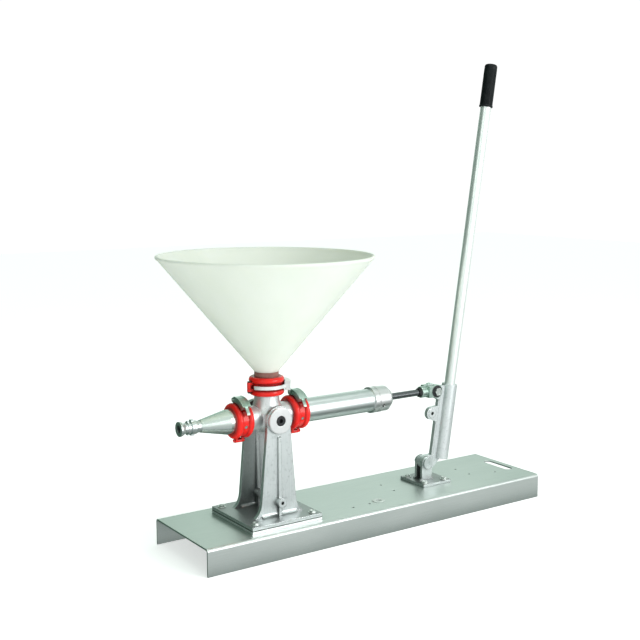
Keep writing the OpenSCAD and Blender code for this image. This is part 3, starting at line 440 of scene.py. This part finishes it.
bronze = Finish("bearing_bronze", Metallic=1.0)
spot = bronze.noise(bronze.place(), 160.0, 4.0)
bronze.wear(base=bronze.blend(spot, (0.44, 0.25, 0.10), (0.60, 0.37, 0.17)),
            rough=0.34 + spot * 0.15)
bronze.on("gland_bush")
rubber.on("suction_seat", "discharge_seat")
zinc.on("suction_cage", "discharge_cage")
white_ball = Finish("white_ball")
pearl = white_ball.noise(white_ball.place(), 140.0, 3.0)
white_ball.wear(base=white_ball.blend(pearl, (0.78, 0.78, 0.74), (0.88, 0.88, 0.85)),
                rough=0.25 + pearl * 0.1)
white_ball.on("suction_ball", "discharge_ball")

# ---------------------------------------------------------------- hopper
# A cone moulded in thin natural polyethylene, milky and slightly see-through, on a neck
# of smoky plastic. Light soaks through the wall, and the grain is a faint matt bloom.

milk = Finish("natural_polyethylene", IOR=1.5, Subsurface_Weight=0.45, Subsurface_Scale=0.02,
              Subsurface_Radius=(1.0, 0.95, 0.8), Specular_IOR_Level=0.35)
flow = milk.noise(milk.place(stretch=(6, 6, 2)), 2.0, 4.0)
matt = milk.noise(milk.place(), 260.0, 3.0)
milk.wear(base=milk.blend(flow, (0.66, 0.70, 0.62), (0.74, 0.76, 0.71)),
          rough=0.36 + flow * 0.10,
          normal=milk.relief(matt, 0.0002, 0.2, rounding=0.0012))
milk.on("hopper")

low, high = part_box("hopper")
neck_r, neck_z = 0.029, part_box("hopper_neck")[1][2]
rim_r, rim_z = (high[0] - low[0]) / 2, high[2]
bore = 0.021
shell = spun([(bore, low[2]), (bore + 0.003, low[2]), (bore + 0.003, neck_z), (neck_r, neck_z),
              (neck_r + 0.001, neck_z + 0.0015), (rim_r - 0.0092, rim_z - 0.0145),
              (rim_r - 0.0052, rim_z - 0.0097), (rim_r - 0.0018, rim_z - 0.0074),
              (rim_r - 0.0004, rim_z - 0.0057), (rim_r, rim_z - 0.0037),
              (rim_r - 0.0006, rim_z - 0.0017), (rim_r - 0.0022, rim_z - 0.0004),
              (rim_r - 0.0042, rim_z), (rim_r - 0.0062, rim_z - 0.0006),
              (rim_r - 0.0079, rim_z - 0.0024), (rim_r - 0.0096, rim_z - 0.0058),
              (rim_r - 0.0135, rim_z - 0.0112), (bore + 0.0016, neck_z + 0.0045),
              (bore, neck_z + 0.001)], 192)
bmesh.ops.translate(shell, verts=shell.verts,
                    vec=((low[0] + high[0]) / 2, (low[1] + high[1]) / 2, 0))
hopper_shell = new_piece("hopper_shell", shell, milk, "pump")
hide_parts("hopper")

smoke = Finish("smoky_plastic", IOR=1.5)
fog = smoke.noise(smoke.place(), 40.0, 4.0)
smoke.wear(base=smoke.blend(fog, (0.17, 0.065, 0.052), (0.36, 0.17, 0.14)), rough=0.22 + fog * 0.15,
           normal=smoke.relief(fog, 0.0003, 0.2, rounding=0.001))
smoke.on("hopper_neck")

# ---------------------------------------------------------------- clamps
# Three quick couplings in ductile iron, dipped in thick glossy red enamel. The edges get
# a painted highlight, and painted shade darkens the valley between the two beads.

enamel = Finish("red_enamel", Coat_Roughness=0.08, Specular_IOR_Level=0.3)
peel = enamel.noise(enamel.place(), 320.0, 2.0)
depth = enamel.noise(enamel.place(), 55.0, 3.0)
# A painted highlight: the edges are painted a lighter red.
enamel_edge_highlight = enamel.edges(0.0022)
red = enamel.blend(depth, (0.62, 0.003, 0.002), (1.0, 0.012, 0.005))
red = enamel.blend(enamel_edge_highlight * 0.5, red, (0.98, 0.05, 0.03))
# Painted shade: the valley between the beads and other hollows are painted dark red.
enamel_clear_of_painted_shade = enamel.node("ShaderNodeAmbientOcclusion", {"samples": 6}, {"Distance": 0.018},
                   output=1).between(0.42, 0.98)
red = enamel.blend(enamel_clear_of_painted_shade, (0.16, 0.001, 0.001), red)
enamel.wear(base=red, rough=0.26 + depth * 0.14, coat=0.25 + depth * 0.3,
            normal=enamel.relief(peel * 0.6 + depth * 0.4, 0.0006, 0.35, rounding=0.0014))
enamel.on("outlet_clamp_fixed", "outlet_clamp_swing", "cylinder_clamp_fixed",
          "cylinder_clamp_swing", "hopper_clamp_fixed", "hopper_clamp_swing",
          "outlet_clamp_hinge_pin", "cylinder_clamp_hinge_pin")

# ---------------------------------------------------------------- rod and clevis
# The rod is steel with dark hard chrome, and the clevis is forged steel in the same green
# zinc as the toggles. The lever is an alloy casting. The pivot's round head is turned.

chrome = Finish("dark_chrome", Metallic=1.0)
draw = chrome.noise(chrome.place(stretch=(4, 300, 300)), 3.0, 3.0)
chrome.wear(base=chrome.blend(draw, (0.09, 0.095, 0.10), (0.26, 0.28, 0.29)),
            rough=0.16 + draw * 0.10)
chrome.on("piston_rod")

lever_cast = cast_finish("lever_casting_alloy", (0.84, 0.87, 0.88), (0.66, 0.71, 0.71), 560.0,
                         0.27, 0.014, metal=0.8)
lever_cast.on("lever_casting")
passive.on("rod_clevis")
satin_tube.on("pivot_bolt")

# A dark spring washer lies between the clevis and the head of its bolt.

low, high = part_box("clevis_bolt")
spring = spun([(0.0066, 0.0), (0.0154, 0.0), (0.0160, 0.0005), (0.0160, 0.0013), (0.0154, 0.0019),
               (0.0066, 0.0019)], 48)
bmesh.ops.rotate(spring, verts=spring.verts, cent=(0, 0, 0),
                 matrix=Matrix.Rotation(math.radians(90), 3, "X"))
bmesh.ops.translate(spring, verts=spring.verts,
                    vec=((low[0] + high[0]) / 2, low[1] + 0.008, (low[2] + high[2]) / 2))
new_piece("clevis_washer", spring, oxide, "rod")

# ---------------------------------------------------------------- handle
# The lever's handle is hot-dipped steel pipe, with the soft spangle of zinc, and a long
# push-on grip of black rubber with a rounded end.

lean = math.radians(8.5)
dipped = Finish("galvanised_pipe", Metallic=0.75)
spangle = dipped.node("ShaderNodeTexVoronoi", {"feature": "F1"},
                      {"Vector": dipped.place(turn=(0, -lean, 0), stretch=(1, 1, 0.35)),
                       "Scale": 110.0}, output=1)
run = dipped.noise(dipped.place(turn=(0, -lean, 0), stretch=(260, 260, 5)), 2.0, 3.0)
grey = dipped.blend(spangle, (0.84, 0.91, 0.88), (0.96, 0.98, 0.97))
dipped.wear(base=dipped.blend(run.between(0.4, 0.8) * 0.3, grey, (0.76, 0.84, 0.80)),
            rough=0.24 + run * 0.12,
            normal=dipped.relief(run, 0.0001, 0.25, rounding=0.0009))
dipped.on("handle_pipe")

grip_rubber = Finish("grip_rubber", Specular_IOR_Level=0.2)
sweat = grip_rubber.noise(grip_rubber.place(), 60.0, 4.0)
grip_rubber.wear(base=grip_rubber.blend(sweat.between(0.45, 0.8), (0.003, 0.005, 0.006),
                                        (0.010, 0.014, 0.015)),
                 rough=0.40 + sweat * 0.18,
                 normal=grip_rubber.relief(grip_rubber.noise(grip_rubber.place(), 800.0), 0.0002,
                                           0.25, rounding=0.0006))
outline = [(0.0141, 0.0), (0.0172, 0.0), (0.0179, 0.0007), (0.0179, 0.0042), (0.0172, 0.0052)]
rib_count, first_rib, rib_pitch = 32, 0.0064, 0.0029
for rib in range(rib_count):
    foot = first_rib + rib_pitch * rib
    outline += [(0.0164, foot), (0.0169, foot + 0.0006), (0.0169, foot + 0.0022),
                (0.0164, foot + 0.0028)]
outline += [(0.0166, 0.1004), (0.0166, 0.1054), (0.0158, 0.1084), (0.0138, 0.1107), (0.0110, 0.1118),
            (0.0004, 0.1120), (0.0004, 0.1093), (0.0141, 0.1093)]
sleeve = spun(outline, 64)
pivot, off_axis, grip_foot = (0.2195, 0, 0.117), 0.057, 0.946
bmesh.ops.translate(sleeve, verts=sleeve.verts, vec=(off_axis, 0, grip_foot))
bmesh.ops.rotate(sleeve, verts=sleeve.verts, cent=(0, 0, 0), matrix=Matrix.Rotation(lean, 3, "Y"))
bmesh.ops.translate(sleeve, verts=sleeve.verts, vec=pivot)
grip_sleeve = new_piece("grip_sleeve", sleeve, grip_rubber, "lever")
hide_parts("handle_grip")

# ---------------------------------------------------------------- floor
# A plain white sweep, matt, so that only a thin soft shadow lies under the base.

bm = bmesh.new()
bmesh.ops.create_grid(bm, x_segments=12, y_segments=12, size=9.0)
bmesh.ops.translate(bm, verts=bm.verts, vec=(0, 0, -0.0005))
ground = bpy.data.meshes.new("floor")
bm.to_mesh(ground)
bm.free()
floor = bpy.data.objects.new("floor", ground)
bpy.context.collection.objects.link(floor)
floor.visible_glossy = False
paper = Finish("white_sweep", Specular_IOR_Level=0.1, Emission_Color=(1.0, 1.0, 1.0),
               Emission_Strength=0.52)
tooth = paper.noise(paper.place(), 40.0, 2.0)
paper.wear(base=paper.blend(tooth, (0.90, 0.90, 0.90), (0.93, 0.93, 0.93)), rough=0.9 + tooth * 0.08)
ground.materials.append(paper.material)
